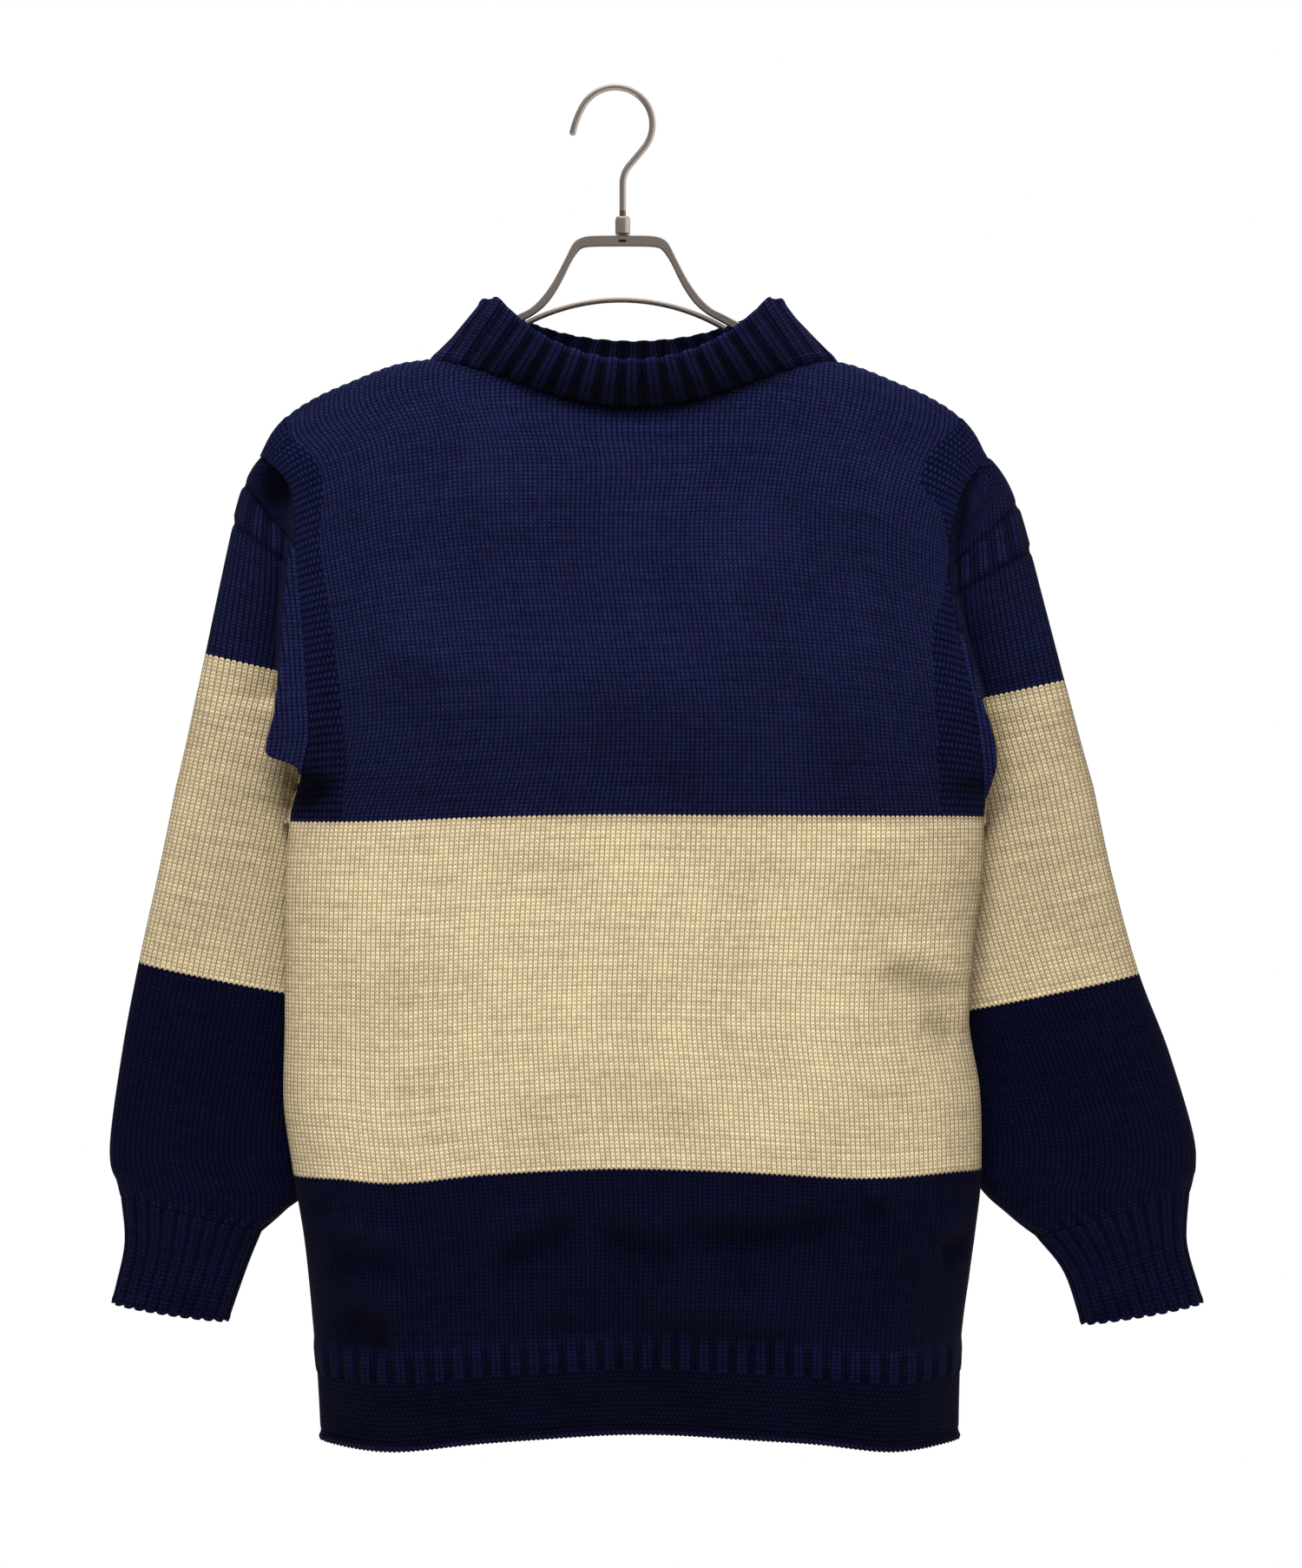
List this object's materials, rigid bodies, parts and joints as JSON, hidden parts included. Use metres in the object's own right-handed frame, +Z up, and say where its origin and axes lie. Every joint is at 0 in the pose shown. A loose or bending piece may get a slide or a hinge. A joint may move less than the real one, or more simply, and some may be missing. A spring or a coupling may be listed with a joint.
{
  "type": "guernsey fisherman sweater on a metal clothes hanger",
  "caption": "Heavy knitted wool pullover with a ribbed stand collar, broad navy and cream bands, dropped sleeves, ribbed cuffs and split welts, hanging on a bent metal hanger.",
  "frame": {"origin": "underside of the hook's crown, where a rail carries the hanger", "axes": "+Z up, the garment's front faces -Y, +X to the right as seen from in front"},
  "size_m": [0.7034, 0.1079, 0.874],
  "materials": {
    "striped_wool": "matt worsted wool, knitted in broad navy and cream bands",
    "navy_wool": "matt worsted wool, navy, ribbed or purl side out",
    "brushed_metal": "satin nickel, warm grey"
  },
  "bodies": {
    "root": {"front": "striped_wool", "back": "striped_wool", "sleeve_left": "striped_wool", "sleeve_right": "striped_wool", "welt_front": "navy_wool", "welt_back": "navy_wool", "neckband": "navy_wool", "cuff_left": "navy_wool", "cuff_right": "navy_wool", "gusset_left": "navy_wool", "gusset_right": "navy_wool", "hanger_hook": "brushed_metal", "hanger_ferrule": "brushed_metal", "hanger_frame": "brushed_metal", "hanger_rod": "brushed_metal"}
  },
  "joints": []
}
